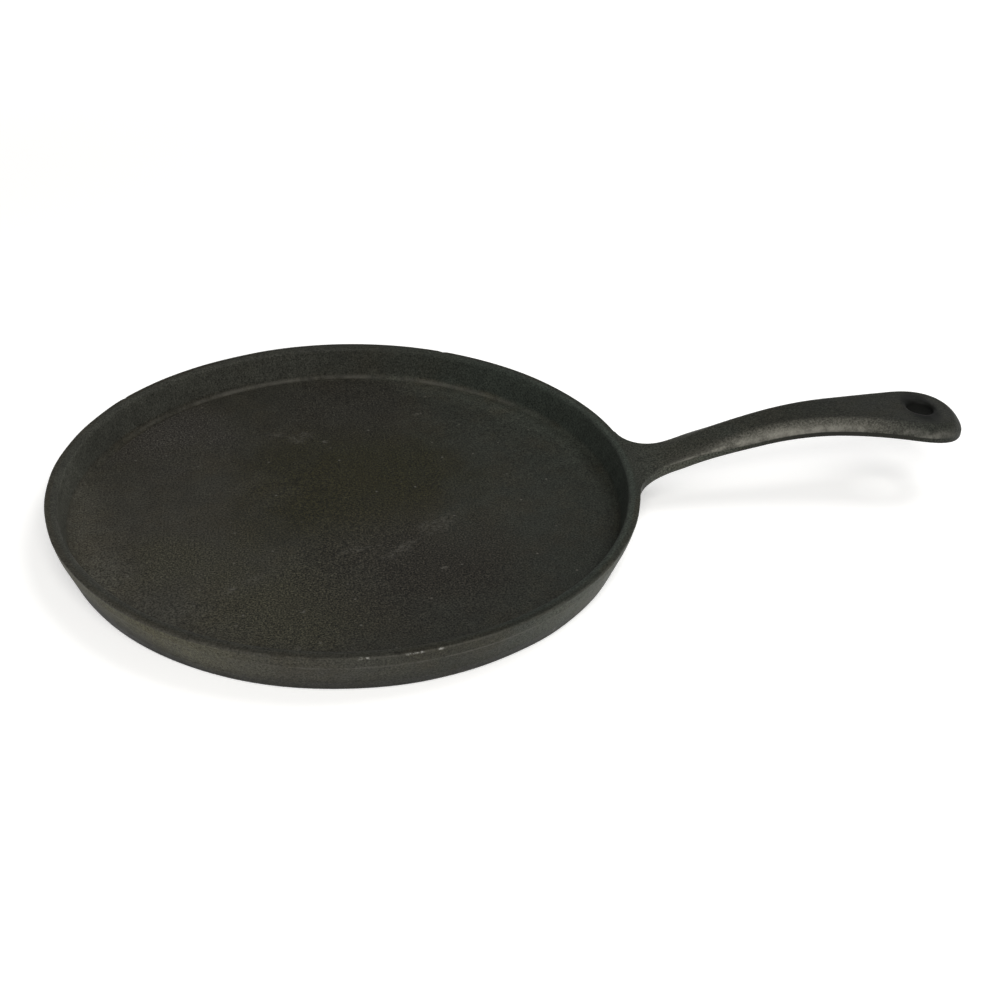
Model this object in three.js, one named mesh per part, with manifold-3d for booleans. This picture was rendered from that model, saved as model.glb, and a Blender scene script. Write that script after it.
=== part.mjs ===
// Round cast-iron griddle: a flat floor, a low tapered wall with an upright lip, and an arched handle
// with a hanging hole. Millimetres, +Z up, origin at the centre of the flat underside, handle along +X.
// The pan is one casting, shown here in the sections that its pattern is made of.

import * as THREE from 'three';
import { mergeVertices } from 'three/addons/utils/BufferGeometryUtils.js';
import Module from 'manifold-3d';

// Pan body
const rimDiameter = 266.7;
const panHeight = 21.4;
const floorThickness = 5.7;
const seatDepth = 0.5;
const landWidth = 5.4;
const landRounding = 0.8;
const lipHeight = 5.8;
const lipLean = 1.35;
const wallLean = 6.1;
const wellLean = 3;
const wellFillet = 2.5;
const baseRounding = 1.5;

// Handle in plan: lengths are measured out from the edge of the rim
const handleLength = 157.7;
const neckOffset = 31.7;
const neckWidth = 21;
const rootFillet = 22;
const palmWidth = 38.7;
const palmFlare = 0.22;
const endRounding = 29.4;
const endFullness = 2.1;

// Handle from the side: heights are measured up from the land
const springInset = 4.4;
const springLength = 28.6;
const riseSlope = 0.46;
const archOffset = 95.3;
const archHeight = 23;
const tipFall = 4.7;

// Handle section
const flankWidth = 5;
const flankDrop = 4.8;
const flankBegins = 14;
const flankFull = 58;
const shoulderSoftness = 0.8;
const neckEdge = 4.7;
const palmEdge = 3;
const neckBelly = 4.5;
const palmBelly = 2.4;

// Straight runs where the handle's sections meet, and its hanging hole
const neckLength = 19.4;
const eyeBlade = 10.6;
const eyeDiameter = 12.5;
const eyeSetback = 20;

// Gap between the neck and the rim that it runs into
const sectionGap = 0.3;

// Fineness of the faceted surfaces
const ringSegments = 96;
const arcSteps = 4;
const holeSegments = 32;
const sectionSamples = 13;
const rootFlareSteps = 6;
const rootNeckSteps = 3;
const gripSteps = 10;
const eyeBladeSteps = 2;
const eyeEndSteps = 9;
const lastEndTurn = THREE.MathUtils.degToRad(87);
const leastReach = 1e-6;

const ironMetalness = 0.55;

const rimRadius = rimDiameter / 2;
const creaseRadius = rimRadius - lipLean;
const baseRadius = creaseRadius - wallLean;
const landRadius = rimRadius - landWidth;
const creaseHeight = panHeight - lipHeight;
const seatHeight = floorThickness - seatDepth;
const tipX = rimRadius + handleLength;
const neckX = rimRadius + neckOffset;
const palmX = tipX - endRounding;
const springX = rimRadius - springInset;
const riseX = springX + springLength;
const archX = rimRadius + archOffset;
const eyeStartX = palmX - eyeBlade;
const eyeX = tipX - eyeSetback;

// The root fillet touches the rim circle from outside and runs into the straight side of the neck.
const filletX = Math.sqrt((rimRadius + rootFillet) ** 2 - (neckWidth / 2 + rootFillet) ** 2);
const filletRimX = rimRadius * filletX / (rimRadius + rootFillet);
const rootEndX = filletX + neckLength;

const wasm = await Module();
wasm.setup();

const iron = (name, color, roughness) =>
  new THREE.MeshStandardMaterial({ name, color, roughness, metalness: ironMetalness });

function outerRadius(height) {
  if (height > creaseHeight) return creaseRadius + lipLean * (height - creaseHeight) / lipHeight;
  return baseRadius + wallLean * height / creaseHeight;
}

function wellRadius(height) {
  return landRadius - wellLean * (panHeight - height) / (panHeight - floorThickness);
}

// Points of a rounded corner: a quadratic curve from one side of the corner to the other.
function roundedCorner(start, corner, end) {
  return new THREE.QuadraticBezierCurve(start, corner, end).getPoints(arcSteps);
}

const point = (radius, height) => new THREE.Vector2(radius, height);

// Turns a profile of radius and height about the vertical axis.
function turned(profile) {
  const geometry = new THREE.LatheGeometry(profile, ringSegments);
  geometry.rotateX(Math.PI / 2);
  return geometry;
}

// Radius where the flat of the floor ends and the fillet up to the wall begins.
const flatRadius = wellRadius(floorThickness) - wellFillet;

// The floor's flat stands a little above the seat for the wall's foot around it.
function griddlePlate() {
  const edge = roundedCorner(
    point(baseRadius - baseRounding, 0),
    point(baseRadius, 0),
    point(outerRadius(baseRounding), baseRounding),
  );
  return turned([
    point(0, 0),
    ...edge,
    point(outerRadius(seatHeight), seatHeight),
    point(flatRadius, seatHeight),
    point(flatRadius, floorThickness),
    point(0, floorThickness),
  ]);
}

function sideWall() {
  const footHeight = floorThickness + wellFillet;
  const fillet = roundedCorner(
    point(wellRadius(footHeight), footHeight),
    point(wellRadius(floorThickness), floorThickness),
    point(flatRadius, floorThickness),
  );
  return turned([
    point(outerRadius(seatHeight), seatHeight),
    point(outerRadius(creaseHeight), creaseHeight),
    point(wellRadius(creaseHeight), creaseHeight),
    ...fillet,
    point(flatRadius, seatHeight),
    point(outerRadius(seatHeight), seatHeight),
  ]);
}

function rimLip() {
  const roundingFoot = panHeight - landRounding;
  const outerEdge = roundedCorner(
    point(outerRadius(roundingFoot), roundingFoot),
    point(rimRadius, panHeight),
    point(rimRadius - landRounding, panHeight),
  );
  const innerEdge = roundedCorner(
    point(landRadius + landRounding, panHeight),
    point(landRadius, panHeight),
    point(wellRadius(roundingFoot), roundingFoot),
  );
  return turned([
    point(outerRadius(creaseHeight), creaseHeight),
    ...outerEdge,
    ...innerEdge,
    point(wellRadius(creaseHeight), creaseHeight),
    point(outerRadius(creaseHeight), creaseHeight),
  ]);
}

// Cubic curve from (x0, z0) to (x1, z1) with the given slopes at its two ends.
function cubic(x, x0, z0, slope0, x1, z1, slope1) {
  const length = x1 - x0;
  const t = THREE.MathUtils.clamp((x - x0) / length, 0, 1);
  const rise = t * t * (3 - 2 * t);
  const leave = t * (1 - t) ** 2 * length * slope0;
  const arrive = t * t * (t - 1) * length * slope1;
  return z0 + (z1 - z0) * rise + leave + arrive;
}

// Height of the handle's top line above the underside: a spring from the land, an arch, a falling end.
function crownHeight(x) {
  const springRise = riseSlope * springLength / 2;
  if (x < riseX) return panHeight + cubic(x, springX, 0, 0, riseX, springRise, riseSlope);
  if (x < archX) return panHeight + cubic(x, riseX, springRise, riseSlope, archX, archHeight, 0);
  const tipSlope = -2 * tipFall / (tipX - archX);
  return panHeight + cubic(x, archX, archHeight, 0, tipX, archHeight - tipFall, tipSlope);
}

// Half width of the handle before its end is rounded.
function flareHalf(x) {
  if (x > palmX) return palmWidth / 2 + palmFlare * (x - palmX);
  const neckHalf = neckWidth / 2;
  const straight = cubic(x, neckX, neckHalf, 0, palmX, palmWidth / 2, palmFlare);
  if (x > filletX) return straight;
  return straight + rootFillet - Math.sqrt(rootFillet ** 2 - (filletX - x) ** 2);
}

const endShare = (x) => Math.max((x - palmX) / endRounding, 0);

function halfWidth(x) {
  return flareHalf(x) * (1 - endShare(x) ** endFullness) ** (1 / endFullness);
}

// How far a point of the plan lies inside the handle's outline.
function insetFromEdge(x, y) {
  const along = endShare(x);
  const across = Math.abs(y) / flareHalf(x);
  const reach = Math.max((along ** endFullness + across ** endFullness) ** (1 / endFullness), leastReach);
  const steepAlong = (along / reach) ** (endFullness - 1) / endRounding;
  const steepAcross = (across / reach) ** (endFullness - 1) / flareHalf(x);
  return Math.max((1 - reach) / Math.hypot(steepAlong, steepAcross), 0);
}

// Share of the full section that the handle has reached on its way from the neck to the palm.
const palmShare = (x) => THREE.MathUtils.smoothstep(x - rimRadius, flankBegins, flankFull);

// Top of the handle: a flat strip, then a flank that falls to the edge with a softened shoulder.
function topHeight(x, y) {
  const share = palmShare(x);
  const down = 1 - Math.min(insetFromEdge(x, y) / flankWidth, 1);
  const soft = Math.hypot(down, shoulderSoftness) - shoulderSoftness;
  const full = Math.hypot(1, shoulderSoftness) - shoulderSoftness;
  return crownHeight(x) - share * flankDrop * soft / full;
}

// Underside of the handle: the edge's thickness below the flank, swelling towards the middle.
function bottomHeight(x, y) {
  const share = palmShare(x);
  const edge = THREE.MathUtils.lerp(neckEdge, palmEdge, share);
  const belly = THREE.MathUtils.lerp(neckBelly, palmBelly, share);
  const across = Math.min(Math.abs(y) / flareHalf(x), 1);
  const inside = Math.min((1 - across ** 2) * (1 - endShare(x) ** 2), 1);
  return crownHeight(x) - share * flankDrop - edge - belly * inside;
}

// Ring of points around the handle at one station: across the top, then back along the underside.
function section(x) {
  const half = halfWidth(x);
  const ring = [];
  for (let i = 0; i < sectionSamples; i += 1) {
    const y = half * Math.cos(Math.PI * i / (sectionSamples - 1));
    ring.push(new THREE.Vector3(x, y, topHeight(x, y)));
  }
  for (let i = sectionSamples - 1; i >= 0; i -= 1) {
    const y = half * Math.cos(Math.PI * i / (sectionSamples - 1));
    ring.push(new THREE.Vector3(x, y, bottomHeight(x, y)));
  }
  return ring;
}

// Closed skin through the sections at the given stations, with a fan over each end.
function lofted(stations) {
  const rings = stations.map(section);
  const size = rings[0].length;
  const positions = rings.flat().flatMap((vertex) => vertex.toArray());
  const index = [];
  for (let i = 0; i + 1 < rings.length; i += 1) {
    for (let j = 0; j < size; j += 1) {
      const here = i * size + j;
      const next = i * size + (j + 1) % size;
      index.push(here, next, here + size, next, next + size, here + size);
    }
  }
  const addEnd = (ring, first, facesTip) => {
    const middle = positions.length / 3;
    const centre = new THREE.Vector3();
    ring.forEach((vertex) => centre.addScaledVector(vertex, 1 / size));
    positions.push(...centre.toArray());
    for (let j = 0; j < size; j += 1) {
      const here = first + j;
      const next = first + (j + 1) % size;
      index.push(...(facesTip ? [here, next, middle] : [next, here, middle]));
    }
  };
  addEnd(rings[0], 0, false);
  addEnd(rings.at(-1), (rings.length - 1) * size, true);
  const geometry = new THREE.BufferGeometry();
  geometry.setAttribute('position', new THREE.Float32BufferAttribute(positions, 3));
  geometry.setIndex(index);
  return geometry;
}

// Evenly spaced stations from one end of a handle section to the other.
function stationsBetween(start, end, steps) {
  return Array.from({ length: steps + 1 }, (_, i) => start + (end - start) * i / steps);
}

// A closed geometry as a solid that can be cut, with its doubled vertices joined.
function solidOf(geometry) {
  const bare = geometry.clone();
  bare.deleteAttribute('normal');
  bare.deleteAttribute('uv');
  const joined = mergeVertices(bare);
  const corners = joined.index.array;
  const triVerts = [];
  for (let i = 0; i < corners.length; i += 3) {
    const [a, b, c] = corners.subarray(i, i + 3);
    if (a !== b && b !== c && c !== a) triVerts.push(a, b, c);
  }
  return new wasm.Manifold(new wasm.Mesh({
    numProp: 3,
    vertProperties: joined.attributes.position.array,
    triVerts: Uint32Array.from(triVerts),
  }));
}

function geometryOf(solid) {
  const mesh = solid.getMesh();
  const geometry = new THREE.BufferGeometry();
  geometry.setAttribute('position', new THREE.BufferAttribute(mesh.vertProperties, 3));
  geometry.setIndex(new THREE.BufferAttribute(mesh.triVerts, 1));
  return geometry;
}

// The outside of the pan grown by the gap and carried up past the handle, to cut the neck to the rim.
function panEnvelope() {
  const grown = (height) => point(outerRadius(height) + sectionGap, height);
  const above = panHeight + archHeight;
  return turned([
    point(0, 0),
    grown(0),
    grown(creaseHeight),
    grown(panHeight),
    point(rimRadius + sectionGap, above),
    point(0, above),
  ]);
}

function handleRoot() {
  const flare = stationsBetween(filletRimX, filletX, rootFlareSteps);
  const neck = stationsBetween(filletX, rootEndX, rootNeckSteps).slice(1);
  const whole = solidOf(lofted([...flare, ...neck]));
  return geometryOf(whole.subtract(solidOf(panEnvelope())));
}

function handleGrip() {
  return lofted(stationsBetween(rootEndX, eyeStartX, gripSteps));
}

// The stations crowd together towards the tip, where the outline turns quickly.
function hangingEye() {
  const blade = stationsBetween(eyeStartX, palmX, eyeBladeSteps);
  const end = stationsBetween(0, lastEndTurn, eyeEndSteps).slice(1);
  const rounded = end.map((turn) => palmX + endRounding * Math.sin(turn));
  const whole = solidOf(lofted([...blade, ...rounded]));
  const depth = 2 * (flankDrop + palmEdge + palmBelly + tipFall);
  const hole = new THREE.CylinderGeometry(eyeDiameter / 2, eyeDiameter / 2, depth, holeSegments);
  hole.rotateX(Math.PI / 2);
  hole.translate(eyeX, 0, crownHeight(eyeX));
  return geometryOf(whole.subtract(solidOf(hole)));
}

const griddle = new THREE.Group();

function addSection(name, geometry, material) {
  const mesh = new THREE.Mesh(geometry, material);
  mesh.name = name;
  griddle.add(mesh);
}

addSection('griddle_plate', griddlePlate(), iron('seasoned_floor', 0x2e2d27, 0.62));
addSection('side_wall', sideWall(), iron('seasoned_wall', 0x3f3f3b, 0.58));
addSection('rim_lip', rimLip(), iron('worn_rim', 0x43423d, 0.52));
addSection('handle_root', handleRoot(), iron('worn_neck', 0x4a4a44, 0.5));
addSection('handle_grip', handleGrip(), iron('worn_grip', 0x52514b, 0.48));
addSection('hanging_eye', hangingEye(), iron('worn_eye', 0x4c4b45, 0.5));

export default griddle;
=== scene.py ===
# Round cast-iron griddle pan in metres, +Z up, handle along +X, its flat underside on z = 0.
import math

import bpy
import numpy as np
from mathutils import Matrix, Vector


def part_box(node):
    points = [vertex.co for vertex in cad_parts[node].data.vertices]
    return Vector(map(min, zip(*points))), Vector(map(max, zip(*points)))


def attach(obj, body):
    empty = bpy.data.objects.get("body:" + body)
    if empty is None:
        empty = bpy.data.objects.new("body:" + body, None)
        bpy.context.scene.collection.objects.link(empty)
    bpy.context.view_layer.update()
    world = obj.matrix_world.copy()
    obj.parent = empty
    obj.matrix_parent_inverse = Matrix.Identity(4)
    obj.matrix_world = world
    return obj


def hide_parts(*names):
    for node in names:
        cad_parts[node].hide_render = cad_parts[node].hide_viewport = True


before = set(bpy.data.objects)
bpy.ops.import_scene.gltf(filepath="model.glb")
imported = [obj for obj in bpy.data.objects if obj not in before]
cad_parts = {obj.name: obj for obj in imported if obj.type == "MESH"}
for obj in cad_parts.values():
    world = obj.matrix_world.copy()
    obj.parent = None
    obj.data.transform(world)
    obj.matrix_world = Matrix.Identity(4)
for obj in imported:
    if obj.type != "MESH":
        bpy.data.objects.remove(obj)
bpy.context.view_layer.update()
scene = bpy.context.scene
mm = 0.001
print("frame loaded, nodes:", ", ".join(sorted(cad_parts)))

# Stage: a pale floor, a sky that is white at the horizon and dim above, and soft lamps

stage = {
    "floorSize": 24.0,
    "floorColour": (0.9, 0.9, 0.9, 1.0),
    "glowNear": 0.4,  # white added for the eye around the pan, where its shadow lies
    "glowFar": 1.0,  # and far out, where the lamps no longer reach
    "glowStart": 0.35,
    "glowEnd": 1.6,
    "skyLow": 1.0,
    "skyHigh": 0.16,
    "skyTurn": (0.07, 0.4),  # sines of the heights between which the sky dims
}

# The large key lamp hangs before the pan, where the foot of the handle's near flank mirrors it. The right
# lamp lights the left side of the well.
lamps = [
    {
        "name": "keyLamp",
        "place": (-0.05, -1.2, 1.15),
        "size": 1.0,
        "power": 17.0,
        "colour": (1.0, 0.985, 0.95),
    },
    {
        "name": "rightLamp",
        "place": (0.8, 0.1, 1.45),
        "size": 0.9,
        "power": 9.0,
        "colour": (1.0, 0.99, 0.97),
    },
]
lampAim = (0.05, 0.0, 0.02)

viewpoint = {
    "azimuth": math.radians(3.2),  # how far the camera stands to the left of straight before the pan
    "height": math.radians(31.514),
    "distance": 685.4 * mm,  # from the middle of the rim
    "focal": 1500.0,  # in pixels of the frame
    "frameWidth": 1000.0,
    "rimAt": (-151.75, -28.49),  # the middle of the rim, in pixels right of and below the frame's middle
    "roll": math.radians(-1.422),
    "sensor": 36.0,
    "nearest": 10 * mm,  # nothing closer to the lens is drawn
}


# An output of a node. Arithmetic on wires, also with plain numbers, adds the nodes that work it out.
class Wire:
    def __init__(self, socket):
        self.socket = socket

    def __add__(self, other):
        return maths("ADD", self, other)

    def __radd__(self, other):
        return maths("ADD", other, self)

    def __sub__(self, other):
        return maths("SUBTRACT", self, other)

    def __rsub__(self, other):
        return maths("SUBTRACT", other, self)

    def __mul__(self, other):
        return maths("MULTIPLY", self, other)

    def __truediv__(self, other):
        return maths("DIVIDE", self, other)

    def __pow__(self, other):
        return maths("POWER", self, other)


# All outputs of a node, each a wire.
class Wires:
    def __init__(self, made):
        self.outputs = made.outputs

    def __getitem__(self, key):
        return Wire(self.outputs[key])


def linkSocket(socket, value):
    if isinstance(value, Wire):
        socket.id_data.links.new(value.socket, socket)
    else:
        socket.default_value = value


def addNode(tree, kind, sockets=None, **settings):
    made = tree.nodes.new(kind)
    for key, value in settings.items():
        setattr(made, key, value)
    for key, value in (sockets or {}).items():
        linkSocket(made.inputs[key], value)
    return made


# Adds a node to the tree of the wires that it takes.
def through(kind, sockets, **settings):
    tree = next(value.socket.id_data for value in sockets.values() if isinstance(value, Wire))
    return Wires(addNode(tree, kind, sockets, **settings))


def maths(operation, first, second, clamp=False):
    return through("ShaderNodeMath", {0: first, 1: second}, operation=operation, use_clamp=clamp)[0]


def larger(first, second):
    return maths("MAXIMUM", first, second)


def vectorMaths(operation, first, second=(0.0, 0.0, 0.0)):
    return through("ShaderNodeVectorMath", {0: first, 1: second}, operation=operation)


def lengthOf(vector):
    return vectorMaths("LENGTH", vector)["Value"]


# How far a place lies along a direction.
def lengthAlong(place, way):
    return vectorMaths("DOT_PRODUCT", place, way)["Value"]


def xyzOf(vector):
    return through("ShaderNodeSeparateXYZ", {0: vector})


def vectorOf(x, y, z=0.0):
    return through("ShaderNodeCombineXYZ", {"X": x, "Y": y, "Z": z})[0]


# Distance from the upright axis of a place given by its parts.
def axisDistance(part):
    return lengthOf(vectorOf(part["X"], part["Y"]))


def eased(value, low, high, toLow=0.0, toHigh=1.0):
    sockets = {"Value": value, "From Min": low, "From Max": high, "To Min": toLow, "To Max": toHigh}
    return through("ShaderNodeMapRange", sockets, interpolation_type="SMOOTHSTEP")["Result"]


def blended(share, first, second, way="MIX"):
    return through("ShaderNodeMix", {0: share, 6: first, 7: second}, data_type="RGBA", blend_type=way)[2]


def noise(vector, scale, detail=2.0, roughness=0.5, distortion=0.0):
    sockets = {"Vector": vector, "Scale": scale, "Detail": detail}
    sockets.update({"Roughness": roughness, "Distortion": distortion})
    return through("ShaderNodeTexNoise", sockets)["Fac"]


def makeFloor():
    mesh = bpy.data.meshes.new("stageFloor")
    half = stage["floorSize"] / 2
    corners = [(-half, -half, 0), (half, -half, 0), (half, half, 0), (-half, half, 0)]
    mesh.from_pydata(corners, [], [(0, 1, 2, 3)])
    floor = bpy.data.objects.new("stageFloor", mesh)
    scene.collection.objects.link(floor)
    material = bpy.data.materials.new("paleFloor")
    material.use_nodes = True
    tree = material.node_tree
    tree.nodes.clear()
    place = Wires(addNode(tree, "ShaderNodeTexCoord"))["Object"]
    away = lengthOf(place)
    glow = eased(away, stage["glowStart"], stage["glowEnd"], stage["glowNear"], stage["glowFar"])
    path = Wires(addNode(tree, "ShaderNodeLightPath"))
    direct = larger(path["Is Camera Ray"], path["Is Glossy Ray"])
    direct = larger(direct, path["Is Transmission Ray"])
    strength = glow * direct
    paint = addNode(tree, "ShaderNodeBsdfDiffuse", {"Color": stage["floorColour"]})
    light = through("ShaderNodeEmission", {"Color": (1, 1, 1, 1), "Strength": strength})
    both = through("ShaderNodeAddShader", {0: Wires(paint)[0], 1: light[0]})
    through("ShaderNodeOutputMaterial", {"Surface": both[0]})
    mesh.materials.append(material)


def makeSky():
    world = bpy.data.worlds.new("paleSky")
    world.use_nodes = True
    tree = world.node_tree
    tree.nodes.clear()
    place = Wires(addNode(tree, "ShaderNodeTexCoord"))["Generated"]
    up = xyzOf(place)["Z"]
    strength = eased(up, *stage["skyTurn"], stage["skyLow"], stage["skyHigh"])
    sky = through("ShaderNodeBackground", {"Color": (1, 1, 1, 1), "Strength": strength})
    through("ShaderNodeOutputWorld", {"Surface": sky[0]})
    scene.world = world


def makeLamps():
    aim = Vector(lampAim)
    for lamp in lamps:
        light = bpy.data.lights.new(lamp["name"], "AREA")
        light.shape = "DISK"
        light.size = lamp["size"]
        light.energy = lamp["power"]
        light.color = lamp["colour"]
        holder = bpy.data.objects.new(lamp["name"], light)
        holder.location = lamp["place"]
        holder.rotation_euler = (aim - Vector(lamp["place"])).to_track_quat("-Z", "Y").to_euler()
        scene.collection.objects.link(holder)


# The camera first looks at the middle of the rim, then turns until that point falls on its pixel, then rolls.
def makeCamera(rimHeight):
    v = viewpoint
    across = Vector((math.cos(v["azimuth"]), -math.sin(v["azimuth"]), 0))
    level = Vector((0, 0, 1)).cross(across)
    back = -level * math.cos(v["height"]) + Vector((0, 0, math.sin(v["height"])))
    place = Vector((0, 0, rimHeight)) + back * v["distance"]
    ahead = -back
    up = across.cross(ahead)
    right, below = (pixels / v["focal"] for pixels in v["rimAt"])
    turn = math.atan(right)
    aside = Matrix.Rotation(turn, 3, up)
    ahead, across = aside @ ahead, aside @ across
    tilt = Matrix.Rotation(math.atan(below * math.cos(turn)), 3, across)
    ahead, up = tilt @ ahead, tilt @ up
    side = across * math.cos(v["roll"]) + up * math.sin(v["roll"])
    top = up * math.cos(v["roll"]) - across * math.sin(v["roll"])
    lens = bpy.data.cameras.new("camera")
    lens.sensor_width = v["sensor"]
    lens.lens = v["focal"] / v["frameWidth"] * v["sensor"]
    lens.clip_start = v["nearest"]
    camera = bpy.data.objects.new("camera", lens)
    camera.matrix_world = Matrix.Translation(place) @ Matrix((side, top, -ahead)).transposed().to_4x4()
    scene.collection.objects.link(camera)
    scene.camera = camera


# Surfaces: every shape is worked out as whole arrays and skinned as a grid


# Rises from 0 to 1 between low and high and is flat at both ends: 3t^2 - 2t^3.
def smoothStep(value, low, high):
    t = np.clip((value - low) / (high - low), 0, 1)
    return t * t * (3 - 2 * t)


# Cubic from (x0, z0) to (x1, z1) with the given slopes at its two ends, level with its ends outside them.
def cubic(x, x0, z0, slope0, x1, z1, slope1):
    length = x1 - x0
    t = np.clip((x - x0) / length, 0, 1)
    leave = t * (1 - t) ** 2 * length * slope0
    arrive = t * t * (t - 1) * length * slope1
    return z0 + (z1 - z0) * t * t * (3 - 2 * t) + leave + arrive


# Straight run from start up to, but without, end.
def straight(start, end, steps):
    t = np.linspace(0, 1, steps, endpoint=False)[:, None]
    return (1 - t) * np.array(start) + t * np.array(end)


# Quadratic curve that leaves start and reaches end along a corner: (1-t)^2 start + 2t(1-t) corner + t^2 end.
def quadratic(t, start, corner, end):
    return (1 - t) ** 2 * start + 2 * t * (1 - t) * corner + t * t * end


# Rounded corner without its end.
def rounded(start, corner, end, steps):
    t = np.linspace(0, 1, steps, endpoint=False)[:, None]
    return quadratic(t, np.array(start), np.array(corner), np.array(end))


# Quads between neighbours of a grid of rows and columns, whose columns close on themselves.
def gridFaces(rows, columns, closedRows=False):
    i, j = np.meshgrid(np.arange(rows if closedRows else rows - 1), np.arange(columns), indexing="ij")
    below, beside = (i + 1) % rows, (j + 1) % columns
    corners = (i * columns + j, i * columns + beside, below * columns + beside, below * columns + j)
    return np.stack(corners, -1).reshape(-1, 4)


# Triangles from one ring of a grid to a single point that closes it.
def fanFaces(firstOfRing, columns, middle):
    j = np.arange(columns)
    return np.stack((firstOfRing + j, firstOfRing + (j + 1) % columns, np.full(columns, middle)), -1)


# Volume inside a closed skin, negative where its faces point in: a sixth of the triple products.
def signedVolume(points, triangles):
    a, b, c = points[triangles[:, 0]], points[triangles[:, 1]], points[triangles[:, 2]]
    return np.einsum("ij,ij->", a, np.cross(b, c)) / 6


casting = {
    "seed": 5,
    "waves": 9,
    "shortest": 26 * mm,
    "longest": 120 * mm,
    "height": 0.05 * mm,
    "restsBelow": 3 * mm,  # the underside stays flat up to here
    "sharpAngle": math.radians(38),  # faces that meet at more than this keep a hard edge
}


# Sand-cast unevenness: each point moves by a few long sine waves of its own place, so that pieces which
# meet move alike. The waves' lengths, ways and pushes are drawn once, from a fixed seed.
def uneven(points):
    draw = np.random.default_rng(casting["seed"])
    lengths = np.geomspace(casting["shortest"], casting["longest"], casting["waves"])
    ways = draw.normal(size=(casting["waves"], 3))
    ways *= (2 * math.pi / lengths / np.linalg.norm(ways, axis=1))[:, None]
    pushes = draw.normal(size=(casting["waves"], 3)) * casting["height"]
    moved = np.sin(points @ ways.T + draw.uniform(0, 2 * math.pi, casting["waves"])) @ pushes
    moved[:, 2] *= smoothStep(points[:, 2], 0, casting["restsBelow"])
    return points + moved


# One piece of the scene. Its faces are turned outwards where the skin's volume comes out negative.
def makePiece(name, points, quads, fans, node, material, marks=None):
    triangles = np.concatenate([quads[:, :3], quads[:, [0, 2, 3]]] + fans)
    if signedVolume(points, triangles) < 0:
        quads = quads[:, ::-1]
        fans = [fan[:, ::-1] for fan in fans]
    mesh = bpy.data.meshes.new(name)
    faces = quads.tolist()
    for fan in fans:
        faces += fan.tolist()
    mesh.from_pydata(points.tolist(), [], faces)
    mesh.polygons.foreach_set("use_smooth", np.ones(len(mesh.polygons), bool))
    mesh.set_sharp_from_angle(angle=casting["sharpAngle"])
    for key, values in (marks or {}).items():
        mesh.attributes.new(key, "FLOAT", "POINT").data.foreach_set("value", values.astype(np.float32))
    mesh.materials.append(material)
    piece = bpy.data.objects.new(name, mesh)
    scene.collection.objects.link(piece)
    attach(piece, "root")
    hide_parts(node)
    print("made", name, "with", len(triangles), "triangles")


# Pan: floor, wall and lip are profiles of radius and height turned about the upright axis

pan = {
    "rimRadius": 133.35 * mm,
    "landWidth": 5.4 * mm,
    "landRounding": 0.8 * mm,
    "landSoftness": 1.8 * mm,  # rounding of the land's worn inner edge
    "lipLean": 1.35 * mm,
    "wallLean": 6.1 * mm,
    "wellLean": 3.0 * mm,
    "wellFillet": 2.5 * mm,
    "baseRounding": 1.5 * mm,
    "creaseSoftness": 0.09 * mm,
    "poleRadius": 1.2 * mm,  # innermost ring of the floor
    "segments": 360,
    "lipSegments": 720,
}
pan["height"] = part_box("rim_lip")[1].z
pan["crease"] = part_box("rim_lip")[0].z
pan["floor"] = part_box("griddle_plate")[1].z
pan["seat"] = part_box("side_wall")[0].z

# Small dents that knocks have left in the rim's outer edge: degrees round the rim, then sizes
nicks = [
    {"at": -91.1, "length": 3.0 * mm, "depth": 0.4 * mm},
    {"at": -82.9, "length": 4.6 * mm, "depth": 0.45 * mm},
    {"at": -78.3, "length": 1.4 * mm, "depth": 0.35 * mm},
    {"at": 141.0, "length": 2.2 * mm, "depth": 0.3 * mm},
    {"at": 64.0, "length": 2.8 * mm, "depth": 0.35 * mm},
]
dent = {
    "inset": 0.3 * mm,  # the edge that is dented lies this far inside the corner of rim and land
    "reach": 1.1 * mm,
    "sharpness": 4,
    "push": 0.7,  # share of the depth that goes in, and also down
}


# Outside of the pan: a leaning wall below the crease and a nearly upright lip above it. The smaller of the
# two straight lines is taken, with the bend between them softened.
def outerRadius(z):
    creaseRadius = pan["rimRadius"] - pan["lipLean"]
    wall = creaseRadius + pan["wallLean"] * (z - pan["crease"]) / pan["crease"]
    lip = creaseRadius + pan["lipLean"] * (z - pan["crease"]) / (pan["height"] - pan["crease"])
    soft = pan["creaseSoftness"]
    return np.minimum(wall, lip) - soft * np.log1p(np.exp(-np.abs(wall - lip) / soft))


# Inside of the well: a straight line that leans in from the land to the floor.
def wellRadius(z):
    landRadius = pan["rimRadius"] - pan["landWidth"]
    return landRadius - pan["wellLean"] * (pan["height"] - z) / (pan["height"] - pan["floor"])


pan["flatRadius"] = float(wellRadius(pan["floor"])) - pan["wellFillet"]


# Run of points up or down one of the two sides, without its end.
def alongSide(radiusAt, start, end, steps):
    z = np.linspace(start, end, steps, endpoint=False)
    return np.stack((radiusAt(z), z), -1)


# Turns a profile about the upright axis: x = r cos a, y = r sin a.
def turned(profile, segments):
    angle = np.linspace(0, 2 * math.pi, segments, endpoint=False)
    radius, z = profile[:, 0, None], profile[:, 1, None]
    points = np.stack((radius * np.cos(angle), radius * np.sin(angle), z + 0 * angle), -1)
    return points.reshape(-1, 3)


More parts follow.
